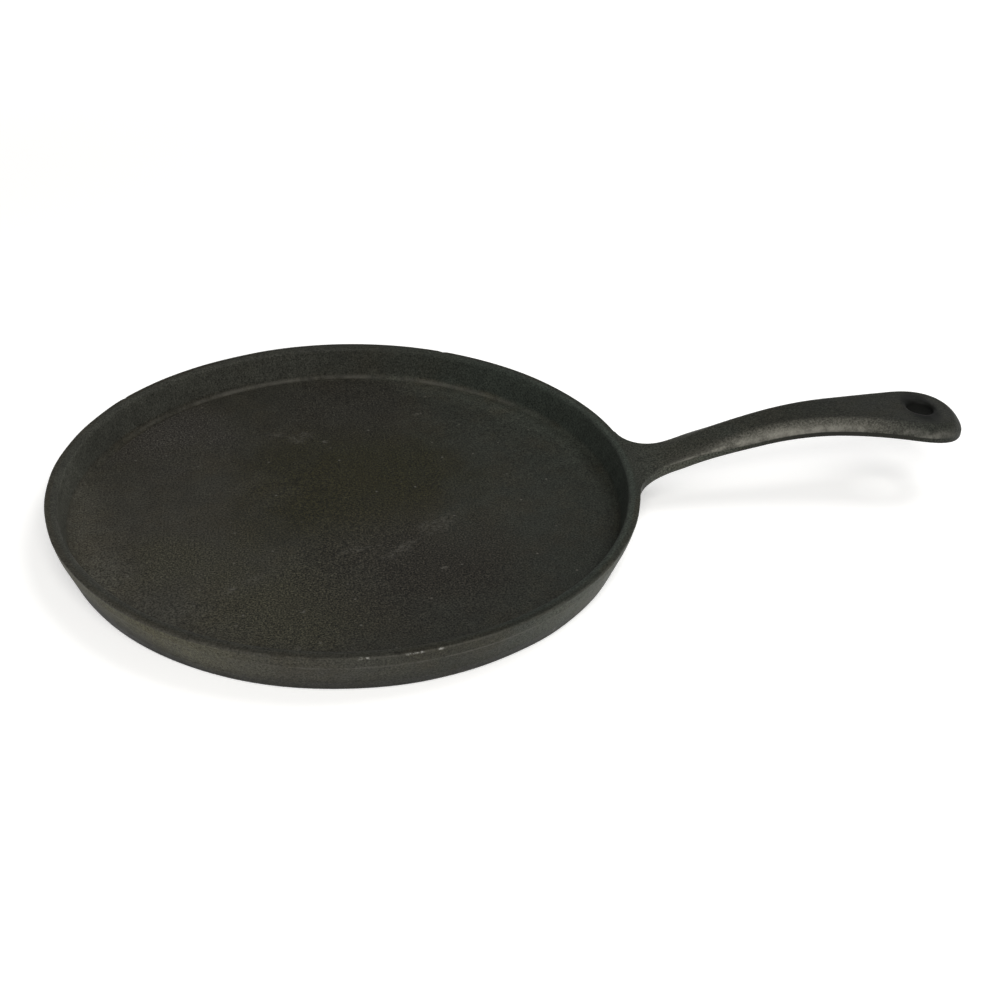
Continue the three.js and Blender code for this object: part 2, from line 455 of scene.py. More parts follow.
# A dent pushes the edge in and down by depth times a bell round the dent and a bell round the edge.
def nicked(points):
    radius = np.hypot(points[:, 0], points[:, 1])
    angle = np.arctan2(points[:, 1], points[:, 0])
    edgeRadius, edgeHeight = pan["rimRadius"] - dent["inset"], pan["height"] - dent["inset"]
    offEdge = np.hypot(radius - edgeRadius, points[:, 2] - edgeHeight)
    depth = np.zeros(len(points))
    for nick in nicks:
        gap = np.angle(np.exp(1j * (angle - math.radians(nick["at"])))) * pan["rimRadius"]
        depth += nick["depth"] * np.exp(-((gap / nick["length"]) ** 2) * dent["sharpness"])
    depth *= np.exp(-((offEdge / dent["reach"]) ** 2))
    moved = points.copy()
    moved[:, :2] *= (1 - dent["push"] * depth / radius)[:, None]
    moved[:, 2] -= dent["push"] * depth
    return moved


plateSteps = {"floor": 100, "step": 2, "seat": 4, "side": 6, "rounding": 8, "base": 50}


# Floor: out over the cooking surface, down a step, out along the wall's seat, down the side, round the foot
# and back in along the underside.
def makePlate(material):
    floor, seat, flat = pan["floor"], pan["seat"], pan["flatRadius"]
    rounding, steps = pan["baseRounding"], plateSteps
    baseRadius = float(outerRadius(0.0))
    side = (float(outerRadius(rounding)), rounding)
    profile = np.concatenate((
        straight((pan["poleRadius"], floor), (flat, floor), steps["floor"]),
        straight((flat, floor), (flat, seat), steps["step"]),
        straight((flat, seat), (float(outerRadius(seat)), seat), steps["seat"]),
        alongSide(outerRadius, seat, rounding, steps["side"]),
        rounded(side, (baseRadius, 0), (baseRadius - rounding, 0), steps["rounding"]),
        straight((baseRadius - rounding, 0), (0, 0), steps["base"]),
    ))
    segments = pan["segments"]
    points = turned(profile, segments)
    poles = np.array([(0, 0, floor), (0, 0, 0)])
    points = uneven(np.concatenate((points, poles)))
    quads = gridFaces(len(profile), segments)
    top, bottom = len(points) - 2, len(points) - 1
    fans = [fanFaces(0, segments, top)[:, ::-1], fanFaces((len(profile) - 1) * segments, segments, bottom)]
    makePiece("pan_floor", points, quads, fans, "griddle_plate", material)


wallSteps = {"outside": 24, "top": 4, "inside": 10, "fillet": 16, "step": 2, "seat": 5}


# Wall: up the outside, in under the lip, down the inside, round the fillet to the floor and out along the
# seat.
def makeWall(material):
    floor, seat, crease, flat = pan["floor"], pan["seat"], pan["crease"], pan["flatRadius"]
    foot, steps = floor + pan["wellFillet"], wallSteps
    outFoot, outTop, inTop = float(outerRadius(seat)), float(outerRadius(crease)), float(wellRadius(crease))
    corner = (float(wellRadius(floor)), floor)
    profile = np.concatenate((
        alongSide(outerRadius, seat, crease, steps["outside"]),
        straight((outTop, crease), (inTop, crease), steps["top"]),
        alongSide(wellRadius, crease, foot, steps["inside"]),
        rounded((float(wellRadius(foot)), foot), corner, (flat, floor), steps["fillet"]),
        straight((flat, floor), (flat, seat), steps["step"]),
        straight((flat, seat), (outFoot, seat), steps["seat"]),
    ))
    points = uneven(turned(profile, pan["segments"]))
    quads = gridFaces(len(profile), pan["segments"], closedRows=True)
    makePiece("pan_wall", points, quads, [], "side_wall", material)


lipSteps = {"outside": 10, "rounding": 9, "land": 8, "softEdge": 12, "inside": 6, "seat": 4}


# Lip: up the outside, round its edge, in over the land, round its worn inner edge, down the inside and out
# along the wall's top.
def makeLip(material):
    height, crease, rounding = pan["height"], pan["crease"], pan["landRounding"]
    soft, steps = pan["landSoftness"], lipSteps
    foot, softFoot = height - rounding, height - soft
    rim, land = pan["rimRadius"], pan["rimRadius"] - pan["landWidth"]
    outTop, inTop = float(outerRadius(crease)), float(wellRadius(crease))
    inside = (float(wellRadius(softFoot)), softFoot)
    profile = np.concatenate((
        alongSide(outerRadius, crease, foot, steps["outside"]),
        rounded((float(outerRadius(foot)), foot), (rim, height), (rim - rounding, height), steps["rounding"]),
        straight((rim - rounding, height), (land + soft, height), steps["land"]),
        rounded((land + soft, height), (land, height), inside, steps["softEdge"]),
        alongSide(wellRadius, softFoot, crease, steps["inside"]),
        straight((inTop, crease), (outTop, crease), steps["seat"]),
    ))
    points = uneven(nicked(turned(profile, pan["lipSegments"])))
    quads = gridFaces(len(profile), pan["lipSegments"], closedRows=True)
    makePiece("pan_rim", points, quads, [], "rim_lip", material)


# Handle: a height field over its plan, closed by a rounded edge all round

handle = {
    "length": 157.7 * mm,
    "neckOffset": 31.7 * mm,
    "neckWidth": 21.0 * mm,
    "rootFillet": 22.0 * mm,
    "palmWidth": 38.7 * mm,
    "palmFlare": 0.22,
    "endRounding": 29.4 * mm,
    "endFullness": 2.1,
    "springInset": 4.4 * mm,
    "springLength": 28.6 * mm,
    "riseSlope": 0.46,
    "archOffset": 95.3 * mm,
    "archHeight": 23.0 * mm,
    "tipFall": 4.7 * mm,
    "flankWidth": 5.0 * mm,
    "flankDrop": 4.8 * mm,
    "flankBegins": 14.0 * mm,
    "flankFull": 58.0 * mm,
    "shoulderSoftness": 0.8,
    "neckEdge": 4.7 * mm,
    "palmEdge": 3.0 * mm,
    "neckBelly": 4.5 * mm,
    "palmBelly": 2.4 * mm,
    "edgeRounding": 0.95 * mm,
    "rimOverlap": 2.6 * mm,  # the neck's skin runs this far into the rim
    "rimDip": 0.25 * mm,  # and dives this far under the land there
    "emergeInset": 0.9 * mm,  # but is back at its own height this far inside the rim
    "holeRadius": 6.25 * mm,
    "holeSetback": 20.0 * mm,
    "holeRounding": 2.2 * mm,
    "topSamples": 64,
    "cornerSamples": 8,
    "sideSamples": 4,
    "bottomSamples": 40,
    "leadStations": 6,
    "filletStations": 44,
    "neckStations": 20,
    "gripStations": 90,
    "bladeStations": 14,
    "noseStations": 60,
    "seamStations": 48,
    "eyeSamples": 28,
    "eyeSpread": 0.85,  # below one, the samples crowd towards the outline
    "brimSamples": 10,
    "boreSamples": 8,
}
handle["tip"] = pan["rimRadius"] + handle["length"]
handle["neck"] = pan["rimRadius"] + handle["neckOffset"]
handle["palm"] = handle["tip"] - handle["endRounding"]
handle["spring"] = pan["rimRadius"] - handle["springInset"]
handle["rise"] = handle["spring"] + handle["springLength"]
handle["arch"] = pan["rimRadius"] + handle["archOffset"]
handle["hole"] = handle["tip"] - handle["holeSetback"]
handle["gripStart"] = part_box("handle_grip")[0].x
handle["gripEnd"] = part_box("handle_grip")[1].x
handle["filletEnd"] = math.sqrt(
    (pan["rimRadius"] + handle["rootFillet"]) ** 2 - (handle["neckWidth"] / 2 + handle["rootFillet"]) ** 2
)
handle["filletRim"] = pan["rimRadius"] * handle["filletEnd"] / (pan["rimRadius"] + handle["rootFillet"])


# Top line of the handle: a spring out of the land, an arch and a falling end.
def crownHeight(x):
    h = handle
    springRise = h["riseSlope"] * h["springLength"] / 2
    endHeight, endSlope = h["archHeight"] - h["tipFall"], -2 * h["tipFall"] / (h["tip"] - h["arch"])
    spring = cubic(x, h["spring"], 0, 0, h["rise"], springRise, h["riseSlope"])
    arch = cubic(x, h["rise"], springRise, h["riseSlope"], h["arch"], h["archHeight"], 0)
    fall = cubic(x, h["arch"], h["archHeight"], 0, h["tip"], endHeight, endSlope)
    return pan["height"] + np.where(x < h["rise"], spring, np.where(x < h["arch"], arch, fall))


# Half width before the end is rounded: a fillet off the rim, a straight neck, a widening palm.
def flareHalf(x):
    h = handle
    half = cubic(x, h["neck"], h["neckWidth"] / 2, 0, h["palm"], h["palmWidth"] / 2, h["palmFlare"])
    inFillet = np.clip(h["filletEnd"] - x, 0, h["rootFillet"])
    fillet = h["rootFillet"] - np.sqrt(h["rootFillet"] ** 2 - inFillet**2)
    return half + fillet + h["palmFlare"] * np.maximum(x - h["palm"], 0)


# Share of the way along the rounded end: 0 at its start, 1 at the tip.
def endShare(x):
    return np.clip((x - handle["palm"]) / handle["endRounding"], 0, 1)


# The end closes as a superellipse: half width times (1 - share^n)^(1/n).
def halfWidth(x):
    n = handle["endFullness"]
    return flareHalf(x) * (1 - endShare(x) ** n) ** (1 / n)


# Distance of a point of the plan from the outline: one minus its superellipse reach, over the reach's slope.
def insetFromEdge(x, y):
    n = handle["endFullness"]
    flare = flareHalf(x)
    along, across = endShare(x), np.abs(y) / flare
    reach = np.maximum((along**n + across**n) ** (1 / n), 1e-6)
    steepAlong = (along / reach) ** (n - 1) / handle["endRounding"]
    steepAcross = (across / reach) ** (n - 1) / flare
    return np.maximum((1 - reach) / np.hypot(steepAlong, steepAcross), 0)


# Share of the palm's section: 0 at the neck, 1 where the flanks are full.
def palmShare(x):
    return smoothStep(x - pan["rimRadius"], handle["flankBegins"], handle["flankFull"])


# Top of the handle: a flat strip and a flank that falls to the edge, with a hyperbola for its soft shoulder.
def topHeight(x, y):
    h = handle
    soft = h["shoulderSoftness"]
    down = 1 - np.minimum(insetFromEdge(x, y) / h["flankWidth"], 1)
    fall = (np.hypot(down, soft) - soft) / (math.hypot(1, soft) - soft)
    return crownHeight(x) - palmShare(x) * h["flankDrop"] * fall


# Underside: the edge's thickness below the flank's foot, with a belly that swells towards the middle.
def bottomHeight(x, y):
    h = handle
    share = palmShare(x)
    edge = h["neckEdge"] + share * (h["palmEdge"] - h["neckEdge"])
    belly = h["neckBelly"] + share * (h["palmBelly"] - h["neckBelly"])
    across = np.minimum(np.abs(y) / flareHalf(x), 1)
    inside = (1 - across**2) * (1 - endShare(x) ** 2)
    return crownHeight(x) - share * h["flankDrop"] - edge - belly * inside


# Height of the handle's top or underside at places of its plan.
def over(faceHeight, plan):
    return faceHeight(plan[..., 0], plan[..., 1])


def lifted(plan, z):
    return np.concatenate((plan, z[..., None]), -1)


# Rounded edge between a top and a bottom point that share one place of the outline, as arrays of rings.
# Quadratic corners join the top to an upright side and the side to the underside.
def edgeRun(inner, outer, rounding):
    t = np.linspace(0, 1, handle["cornerSamples"])[:, None]
    topOuter, lowOuter = over(topHeight, outer), over(bottomHeight, outer)

    def point(plan, z):
        return lifted(plan, z)[..., None, :]

    topInner, lowInner = point(inner, over(topHeight, inner)), point(inner, over(bottomHeight, inner))
    upper = quadratic(t, topInner, point(outer, topOuter), point(outer, topOuter - rounding))
    lower = quadratic(t, point(outer, lowOuter + rounding), point(outer, lowOuter), lowInner)
    s = np.linspace(0, 1, handle["sideSamples"] + 2)[1:-1, None]
    side = (1 - s) * upper[..., -1:, :] + s * lower[..., :1, :]
    return np.concatenate((upper, side, lower), -2)


# One ring for each station of the handle: over the top from the far edge to the near one, round the near
# edge, back along the underside and round the far edge. Each station is a row of places across the plan.
def handleRings(planAt):
    h = handle
    rounding = h["edgeRounding"]
    across = np.cos(np.linspace(0, math.pi, h["topSamples"]))[1:-1]
    under = np.cos(np.linspace(math.pi, 0, h["bottomSamples"]))[1:-1]
    outerNear, outerFar = planAt(np.array([-1.0])), planAt(np.array([1.0]))
    inward = np.array([0, rounding])
    innerNear, innerFar = outerNear + inward, outerFar - inward
    share = 1 - rounding / np.abs(outerFar[..., 1])
    top = planAt(share * across[None, :])
    low = planAt(share * under[None, :])
    topRow, lowRow = lifted(top, over(topHeight, top)), lifted(low, over(bottomHeight, low))
    nearEdge = edgeRun(innerNear[:, 0], outerNear[:, 0], rounding)
    farEdge = edgeRun(innerFar[:, 0], outerFar[:, 0], rounding)[:, ::-1]
    return np.concatenate((topRow, nearEdge, lowRow, farEdge), 1)


wear = {
    "flankRise": (138 * mm, 172 * mm),  # hands have polished the flanks between here, with a painted sheen
    "flankFade": (238 * mm, 270 * mm),  # and here along the handle
    "edgeFade": (268 * mm, 288 * mm),  # the bright edge runs on to here
    "flankShare": (-0.35, 0.7),  # shares of the way down the flank over which the polish comes in
    "edgeReach": 1.4 * mm,
    "topDepth": (0.45 * mm, 0.95 * mm),  # how far below its top the handle's side begins
    "sideRise": (180 * mm, 212 * mm),  # the side is painted in shade between here
    "sideFade": (252 * mm, 276 * mm),  # and here along the handle
    "neckRise": (133 * mm, 143 * mm),  # the neck's side has painted light between here
    "neckFade": (170 * mm, 186 * mm),  # and here along the handle
}


# Wear and painted light are worked out from the section: flank rises down the flank between two places along
# the handle, edge is a bell round the flank's foot, side is one below that foot in the middle of the handle
# and takes painted shade, and the neck's side mark is one below it at the neck and takes painted light.
def wearAndLightMarks(points):
    w = wear
    x, y = points[:, 0], points[:, 1]
    inset = insetFromEdge(x, y)
    side = smoothStep(topHeight(x, y) - points[:, 2], *w["topDepth"])
    rise = smoothStep(x, *w["flankRise"]) * (1 - side)
    flank = smoothStep(1 - inset / handle["flankWidth"], *w["flankShare"]) * rise
    flank *= 1 - smoothStep(x, *w["flankFade"])
    edge = np.exp(-((inset / w["edgeReach"]) ** 2)) * rise * (1 - smoothStep(x, *w["edgeFade"]))
    sideShadeAlong = smoothStep(x, *w["sideRise"]) * (1 - smoothStep(x, *w["sideFade"]))
    pale = smoothStep(x, *w["neckRise"]) * (1 - smoothStep(x, *w["neckFade"]))
    return {"flank": flank, "edge": edge, "side": side * sideShadeAlong, "neckSideLight": side * pale}


# Handle pieces that are plain lofts: rings joined along the handle, with a fan over each end.
def makeLoft(name, rings, node, material):
    stations, around = rings.shape[:2]
    middles = rings[[0, -1]].mean(1)
    points = np.concatenate((rings.reshape(-1, 3), middles))
    quads = gridFaces(stations, around)
    start, end = len(points) - 2, len(points) - 1
    fans = [fanFaces(0, around, start)[:, ::-1], fanFaces((stations - 1) * around, around, end)]
    makePiece(name, uneven(points), quads, fans, node, material, wearAndLightMarks(points))


# The neck's stations start as arcs of the rim's circle, inside the rim, and straighten along the fillet.
def makeNeck(material):
    h = handle
    angle = math.asin((h["filletEnd"] - h["filletRim"]) / h["rootFillet"])
    bend = np.linspace(angle, 0, h["filletStations"])
    fillet = h["filletEnd"] - h["rootFillet"] * np.sin(bend)
    neck = np.linspace(h["filletEnd"], h["gripStart"], h["neckStations"])[1:]
    edgeX = np.concatenate((fillet, neck))
    edgeY = flareHalf(edgeX)
    inside = 1 - h["rimOverlap"] / pan["rimRadius"]
    lead = np.linspace(inside, 1, h["leadStations"], endpoint=False)
    edgeX = np.concatenate((lead * edgeX[0], edgeX))[:, None]
    edgeY = np.concatenate((lead * edgeY[0], edgeY))[:, None]
    radius = np.hypot(edgeX, edgeY)
    arched = 1 - smoothStep(edgeX, h["filletRim"], h["filletEnd"])

    def planAt(share):
        y = share * edgeY
        bulge = np.sqrt(radius**2 - y**2) - np.sqrt(radius**2 - edgeY**2)
        return np.stack((edgeX + arched * bulge, y), -1)

    rings = handleRings(planAt)
    fromAxis = np.hypot(rings[..., 0], rings[..., 1])
    rim = pan["rimRadius"]
    emerge = smoothStep(fromAxis, rim - h["rimOverlap"], rim - h["emergeInset"])
    rings[..., 2] -= h["rimDip"] * (1 - emerge)
    makeLoft("handle_neck", rings, "handle_root", material)


def makeGrip(material):
    x = np.linspace(handle["gripStart"], handle["gripEnd"], handle["gripStations"])[:, None]

    def planAt(share):
        y = share * halfWidth(x)
        return np.stack((x + 0 * y, y), -1)

    makeLoft("handle_arch", handleRings(planAt), "handle_grip", material)


# Outline of the end in plan, from the near side round the nose to the far side, and the ways inward from it.
def endOutline():
    h = handle
    palm, n = h["palm"], h["endFullness"]
    blade = np.linspace(h["gripEnd"], palm, h["bladeStations"], endpoint=False)
    turn = np.linspace(0, math.pi / 2, h["noseStations"])
    noseX = palm + h["endRounding"] * np.sin(turn) ** (2 / n)
    noseY = flareHalf(noseX) * np.cos(turn) ** (2 / n)
    nearX = np.concatenate((blade, noseX))
    nearY = np.concatenate((flareHalf(blade), noseY))
    x = np.concatenate((nearX, nearX[-2::-1]))
    y = np.concatenate((-nearY, nearY[-2::-1]))
    outline = np.stack((x, y), -1)
    ahead = np.gradient(outline, axis=0)
    inward = np.stack((-ahead[:, 1], ahead[:, 0]), -1) / np.hypot(ahead[:, 0], ahead[:, 1])[:, None]
    inward[0], inward[-1] = (0, 1), (0, -1)
    return outline, inward


# Rows down the hole: a quadratic bend in from the top, the straight bore and a bend out to the underside. The
# places come from at, which takes distances from the hole's middle.
def holeRows(at, distance):
    h = handle
    hole, lip = h["holeRadius"], h["holeRounding"]
    t = np.linspace(0, 1, h["brimSamples"])[None, :] + 0 * distance
    bendOut = at(hole + lip * (1 - t) ** 2)
    brim, edge = at(hole + lip + 0 * distance), at(hole + 0 * distance)
    edgeTop, edgeLow = over(topHeight, edge), over(bottomHeight, edge)
    topBend = quadratic(t, over(topHeight, brim), edgeTop, edgeTop - lip)
    lowBend = quadratic(t, over(bottomHeight, brim), edgeLow, edgeLow + lip)
    fall = np.linspace(0, 1, h["boreSamples"])[1:-1][None, :]
    bore = (1 - fall) * topBend[:, -1:] + fall * lowBend[:, -1:]
    rows = (lifted(bendOut, topBend), lifted(at(hole + 0 * bore), bore), lifted(bendOut, lowBend)[:, ::-1])
    return np.concatenate(rows, 1)


# The end is a ring round its hole: each outline point and the hole's edge below it are joined by a closed
# profile that runs in over the top, down the hole, out along the underside and up round the edge.
def makeEnd(material):
    h = handle
    rounding, start = h["edgeRounding"], h["gripEnd"]
    outline, inward = endOutline()
    seamHalf = float(halfWidth(np.array(start))) - rounding
    seamY = np.linspace(seamHalf, -seamHalf, h["seamStations"])
    seam = np.stack((np.full(len(seamY), start), seamY), -1)
    outer = np.concatenate((outline, seam))
    inner = np.concatenate((outline + rounding * inward, seam))
    roundings = np.concatenate((np.full(len(outline), rounding), np.zeros(len(seam))))
    centre = np.array([h["hole"], 0])
    reach = inner - centre
    distance = np.hypot(reach[:, 0], reach[:, 1])[:, None]
    way = reach / distance

    def at(length):
        return centre + way[:, None, :] * length[..., None]

    spread = np.linspace(0, 1, h["eyeSamples"])[1:][None, :] ** h["eyeSpread"]
    brim = h["holeRadius"] + h["holeRounding"]
    top, low = at(brim + (distance - brim) * spread[:, ::-1]), at(brim + (distance - brim) * spread)
    topRow, lowRow = lifted(top, over(topHeight, top)), lifted(low, over(bottomHeight, low))
    edgeRow = edgeRun(inner, outer, roundings)[:, ::-1]
    rings = np.concatenate((edgeRow[:, :-1], topRow, holeRows(at, distance), lowRow[:, :-1]), 1)
    points = rings.reshape(-1, 3)
    quads = gridFaces(len(rings), rings.shape[1], closedRows=True)
    marks = wearAndLightMarks(points)
    makePiece("handle_end", uneven(points), quads, [], "hanging_eye", material, marks)


# Finishes: seasoned cast iron, one material for each slot, with the shared effects as node groups


# Colour as seen on a screen, 0 to 255, turned into the linear colour that a shader takes.
def seen(red, green, blue):
    c = np.array((red, green, blue)) / 255
    c = np.where(c > 0.04045, ((c + 0.055) / 1.055) ** 2.4, c / 12.92)
    return (*c.tolist(), 1.0)


def newGroup(name, takes, gives):
    tree = bpy.data.node_groups.new(name, "ShaderNodeTree")
    for label, kind, value in takes:
        socket = tree.interface.new_socket(label, in_out="INPUT", socket_type="NodeSocket" + kind)
        if value is not None:
            socket.default_value = value
    for label, kind in gives:
        tree.interface.new_socket(label, in_out="OUTPUT", socket_type="NodeSocket" + kind)
    return tree, Wires(addNode(tree, "NodeGroupInput")), addNode(tree, "NodeGroupOutput").inputs


def useGroup(group, sockets):
    return through("ShaderNodeGroup", sockets, node_tree=group)


# Brightens or dims a colour by a value round 1.
def shaded(colour, value):
    return blended(1.0, colour, vectorOf(value, value, value), "MULTIPLY")


# Brightens a colour by a share of itself, or dims it where the share is negative.
def lightened(colour, gain):
    return shaded(colour, 1.0 + gain)


skinGrain = {
    "fineShare": 0.55,
    "coarseShare": 0.6,
    "pitEdge": (0.05, 0.3),  # distances from the middle of a coarse grain over which its pit ends
    "pitScale": 70.0,
    "pitWhere": (0.52, 0.68),  # pits lie where a slow noise passes from the first to the second value
    "speck": (0.58, 0.74),
}


# Sand-cast skin: fine and coarse grains with scattered pits. Height feeds bumps, Speck marks bright grains.
def sandGrainGroup():
    g = skinGrain
    takes = [("Vector", "Vector", None), ("Fine", "Float", 1300.0), ("Coarse", "Float", 420.0)]
    takes += [("Pits", "Float", 0.5)]
    tree, given, out = newGroup("sandGrain", takes, [("Height", "Float"), ("Speck", "Float")])
    place = given["Vector"]
    fine = noise(place, given["Fine"], detail=3.0, roughness=0.6)
    coarse = noise(place, given["Coarse"], roughness=0.55)
    cells = through("ShaderNodeTexVoronoi", {"Vector": place, "Scale": given["Coarse"]})
    pit = eased(cells["Distance"], *g["pitEdge"], 1.0, 0.0)
    pit = pit * eased(noise(place, g["pitScale"]), *g["pitWhere"])
    height = fine * g["fineShare"] + coarse * g["coarseShare"]
    linkSocket(out["Height"], height - pit * given["Pits"])
    linkSocket(out["Speck"], eased(fine, *g["speck"]))
    return tree


toneReach = {
    "blotchEdge": (0.34, 0.66),  # noise values between which the dark tone turns into the light one
    "cool": (-100 * mm, 140 * mm),  # the cooler tone comes in between these places along the handle's line
    "coolShare": 0.75,
    "paleWay": (-0.85, -0.53, 0.0),  # the iron is painted paler this way from the middle, painted light and a painted warm reflection
    "pale": (25 * mm, 125 * mm),
    "paleShare": 0.85,
    "rustScale": 42.0,
    "rustEdge": (0.4, 0.68),
    "rustShare": 0.4,
    # The well's own tones below are painted light that lifts the shade the lamps leave on its side and foot
    "wallRise": (1.4 * mm, 3.4 * mm),  # heights above the floor over which the well's side takes its own tone
    "deep": (15 * mm, 85 * mm),  # it is deep between these places along the handle's line
    "deepShare": 0.8,
    "clear": (-118 * mm, 110 * mm),  # and clear between these
    "clearShare": 0.8,
    "leftWay": (-0.97, -0.24, 0.0),  # the well is painted paler this way, its side more than its floor, painted light in place of shade
    "left": (98 * mm, 120 * mm),
    "leftBy": (0.5, 0.75),
    "lowFrom": 0.5 * mm,  # heights between which the outside turns from its low tone of painted shade to its high tone of painted highlight
    "lowTo": (22 * mm, 9.5 * mm),  # the second one falls between these places
    "lowToAlong": (-105 * mm, -60 * mm),
    "lowAlong": (-90 * mm, 90 * mm),  # the low tone changes between these places by the factors below
    "lowShare": (0.1, 0.9),
    "highMiddle": 1.12,  # factor of the painted highlight at the front, then what is added to the left and right
    "highLeft": (-20 * mm, -80 * mm, 0.6),
    "highRight": (30 * mm, 95 * mm, 1.0),
    "highNeck": (108 * mm, 124 * mm, -1.0),  # and taken away again before the neck
    "warm": (-20 * mm, -90 * mm, 0.15),  # share of blue that the outside loses towards the left, a painted warm reflection
    "outsideTop": (0.5 * mm, 1.2 * mm),  # depths below the land between which the sides' tones come in
    "outsideEnd": (0.2 * mm, 1.0 * mm),  # distances beyond the rim between which the outside's tones end
    "middleWidth": 0.5 * mm,  # half the width over which the well's tones turn into the outside's
    "mottleEdge": (0.36, 0.66),
    "mottleBy": (0.92, 1.08),
    "crystals": 1250.0,
    "fleckLeast": 0.3,
}


# Painted light in the well: a deep tone on its side beside the handle, a clear one on the rest of its side,
# and both its side and its floor painted paler towards the left, all lifting the shade that the lamps leave
# there.
def wellTone(given, part, well, underLand, colour):
    t = toneReach
    onSide = eased(part["Z"] - pan["floor"], *t["wallRise"])
    inside = well * onSide
    deep = inside * eased(part["X"], *t["deep"], 0.0, t["deepShare"])
    colour = blended(deep, colour, given["Deep"])
    clear = inside * eased(part["X"], *t["clear"], t["clearShare"], 0.0)
    colour = blended(clear, colour, given["Clear"])
    floorGain, sideGain = t["leftBy"]
    left = floorGain + onSide * (sideGain - floorGain)
    leftward = lengthAlong(given["Vector"], t["leftWay"])
    left = left * eased(leftward, *t["left"])
    return lightened(colour, left * (well * underLand))


# Painted light on the outside: a low factor of painted shade and a high one of painted highlight, both
# changing from left to right, and less blue at the left for a painted warm reflection.
def outsideTone(part, outside, colour):
    t = toneReach
    low = eased(part["X"], *t["lowAlong"], *t["lowShare"])
    high = t["highMiddle"]
    for start, end, gain in (t[side] for side in ("highLeft", "highRight", "highNeck")):
        high = high + eased(part["X"], start, end, 0.0, gain)
    top = eased(part["X"], *t["lowToAlong"], *t["lowTo"])
    risen = eased(part["Z"], t["lowFrom"], top)
    gain = low + (high - low) * risen - 1.0
    colour = lightened(colour, outside * gain)
    start, end, loss = t["warm"]
    blue = outside * eased(part["X"], start, end, 0.0, loss)
    tint = vectorOf(1.0, 1.0, 1.0 - blue)
    return blended(1.0, colour, tint, "MULTIPLY")


# Tone of the iron and painted light: wide blotches of baked oil, patches of rust brown, a cooler tone towards
# the handle, painted light that makes the left front paler, painted light and shade on the pan's two sides,
# small mottling and a fine grain of crystals.
# The two sides are told apart by the middle of the wall, which leans out as it rises.
def castToneAndLightGroup():
    t = toneReach
    takes = [("Vector", "Vector", None)]
    takes += [(label, "Color", None) for label in ("Dark", "Light", "Brown", "Cool", "Deep", "Pale", "Clear")]
    takes += [("Blotch", "Float", 14.0), ("Mottle", "Float", 130.0), ("Grain", "Float", 4.6)]
    gives = [("Colour", "Color"), ("Mottle", "Float"), ("Fleck", "Float")]
    tree, given, out = newGroup("castToneAndLight", takes, gives)
    place = given["Vector"]
    part = xyzOf(place)
    blotch = noise(place, given["Blotch"], detail=4.0, roughness=0.6, distortion=0.4)
    colour = blended(eased(blotch, *t["blotchEdge"]), given["Dark"], given["Light"])
    cool = eased(part["X"], *t["cool"], 0.0, t["coolShare"])
    colour = blended(cool, colour, given["Cool"])
    pale = eased(lengthAlong(place, t["paleWay"]), *t["pale"], 0.0, t["paleShare"])
    colour = blended(pale, colour, given["Pale"])
    rust = noise(place, t["rustScale"], detail=4.0, roughness=0.7)
    colour = blended(eased(rust, *t["rustEdge"], 0.0, t["rustShare"]), colour, given["Brown"])
    floor, height, wide = pan["floor"], pan["height"], t["middleWidth"]
    footMiddle, topMiddle = ((float(outerRadius(z)) + float(wellRadius(z))) / 2 for z in (floor, height))
    leaning = (part["Z"] - floor) * ((topMiddle - footMiddle) / (height - floor))
    radius = axisDistance(part)
    outside = eased(radius - leaning, footMiddle - wide, footMiddle + wide)
    underLand = eased(height - part["Z"], *t["outsideTop"])
    # Painted light in the well, then on the outside
    colour = wellTone(given, part, 1.0 - outside, underLand, colour)
    onPan = eased(radius - pan["rimRadius"], *t["outsideEnd"], 1.0, 0.0)
    colour = outsideTone(part, outside * underLand * onPan, colour)
    mottle = eased(noise(place, given["Mottle"], detail=4.0, roughness=0.65), *t["mottleEdge"])
    colour = shaded(colour, eased(mottle, 0.0, 1.0, *t["mottleBy"]))
    fine = noise(place, t["crystals"], roughness=0.7) - 0.5
    fleck = larger(fine * given["Grain"] + 1.0, t["fleckLeast"])
    linkSocket(out["Colour"], shaded(colour, fleck))
    linkSocket(out["Mottle"], mottle)
    linkSocket(out["Fleck"], fleck)
    return tree


# Nearness to a circle round the upright axis: a bell of the distance from its radius and height.
def nearRingGroup():
    takes = [("Vector", "Vector", None), ("Radius", "Float", 0.1), ("Height", "Float", 0.0)]
    takes += [("Reach", "Float", 0.002)]
    tree, given, out = newGroup("nearRing", takes, [("Mask", "Float")])
    part = xyzOf(given["Vector"])
    off = axisDistance(part) - given["Radius"]
    rise = part["Z"] - given["Height"]
    ratio = lengthOf(vectorOf(off, rise)) / given["Reach"]
    linkSocket(out["Mask"], eased(ratio, 0.0, 1.0, 1.0, 0.0))
    return tree


rubbing = {
    "slowScale": 22.0,
    "brokenShare": 0.6,
    "slowShare": 0.4,
    "edge": (0.36, 0.62),
}


# Rubbed places: a mask broken up by a quick and a slow noise, so that wear comes and goes along an edge.
def rubbedGroup():
    r = rubbing
    takes = [("Vector", "Vector", None), ("Where", "Float", 0.0), ("Breakup", "Float", 120.0)]
    takes += [("Amount", "Float", 0.5)]
    tree, given, out = newGroup("rubbed", takes, [("Mask", "Float")])
    broken = noise(given["Vector"], given["Breakup"], detail=4.0, roughness=0.65)
    slow = noise(given["Vector"], r["slowScale"])
    both = broken * r["brokenShare"] + slow * r["slowShare"]
    kept = given["Where"] * eased(both, *r["edge"])
    linkSocket(out["Mask"], maths("MULTIPLY", kept, given["Amount"], clamp=True))
    return tree


scuffing = {
    "wobbleScale": 160.0,
    "wobble": 2.0,  # how far the edges wander, in half widths
    "speckle": (0.4, 0.68),
}


